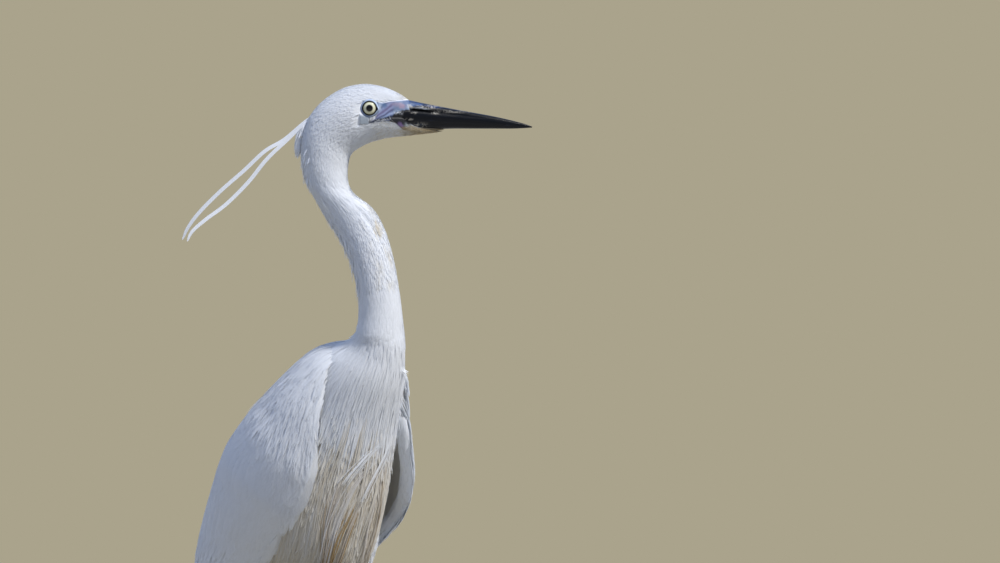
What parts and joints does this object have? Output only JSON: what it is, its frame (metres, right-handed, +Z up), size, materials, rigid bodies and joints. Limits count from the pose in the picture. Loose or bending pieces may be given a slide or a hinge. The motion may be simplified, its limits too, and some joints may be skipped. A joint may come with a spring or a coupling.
{
  "type": "little egret, standing",
  "caption": "Life-size white heron standing upright on both feet with its head turned side-on, long nape plumes, folded wings and hanging breast plumes",
  "frame": {"origin": "middle of the model's bounding box, on the floor", "axes": "+Z up, +X the way the bill points, +Y away from the viewer of the bird's right side"},
  "size_m": [0.2382, 0.1576, 0.5447],
  "materials": {
    "plumage": "soft white feathers",
    "bill": "blue-black horn with a low sheen and pale scuffs",
    "eye": "wet pale yellow iris with a black pupil",
    "leg": "black scaled skin",
    "foot": "dull yellow scaled skin",
    "claw": "dark horn"
  },
  "bodies": {
    "root": {"head": "plumage", "bill_upper": "bill", "bill_lower": "bill", "eye_right": "eye", "eye_left": "eye", "neck_upper": "plumage", "neck_middle": "plumage", "neck_lower": "plumage", "torso": "plumage", "wing_right": "plumage", "wing_left": "plumage", "tail": "plumage", "thigh_right": "plumage", "thigh_left": "plumage", "shin_right": "leg", "shin_left": "leg", "tarsus_right": "leg", "tarsus_left": "leg", "foot_right": "foot", "foot_left": "foot", "claw_right_inner": "claw", "claw_right_middle": "claw", "claw_right_outer": "claw", "claw_right_hind": "claw", "claw_left_inner": "claw", "claw_left_middle": "claw", "claw_left_outer": "claw", "claw_left_hind": "claw"}
  },
  "joints": []
}
